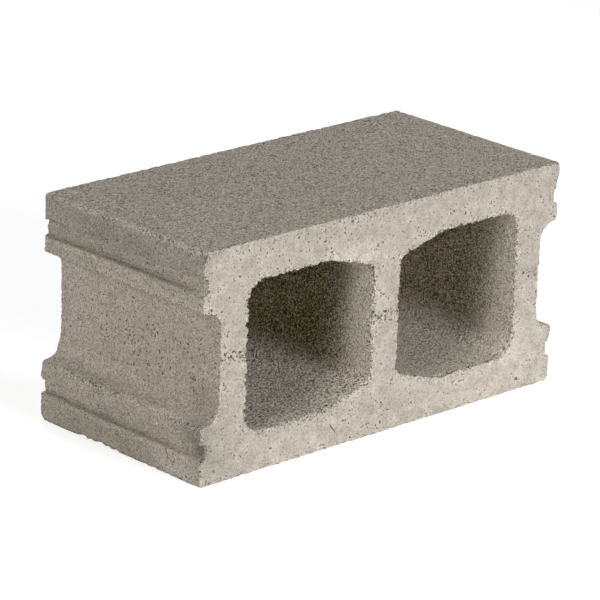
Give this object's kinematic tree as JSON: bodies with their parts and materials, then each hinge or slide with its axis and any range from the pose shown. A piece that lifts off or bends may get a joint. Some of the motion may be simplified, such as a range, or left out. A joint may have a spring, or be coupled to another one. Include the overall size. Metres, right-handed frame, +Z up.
{
  "type": "concrete block",
  "caption": "Hollow concrete masonry block with rounded, drafted through-cores, recessed ends and grooved end flanges, lying on a face shell for stacking or walling.",
  "frame": {"origin": "on the floor, under the middle of the block as it lies on a face shell", "axes": "+X along the length, +Y from the bed face cast at the open top of the mould to the bed face cast on the pallet, +Z up through the thickness"},
  "size_m": [0.397, 0.194, 0.194],
  "materials": {
    "concrete": "dry-cast warm grey concrete, sandy open grain with small pores, ragged arrises"
  },
  "bodies": {
    "root": {"concrete_block": "concrete"}
  },
  "joints": []
}
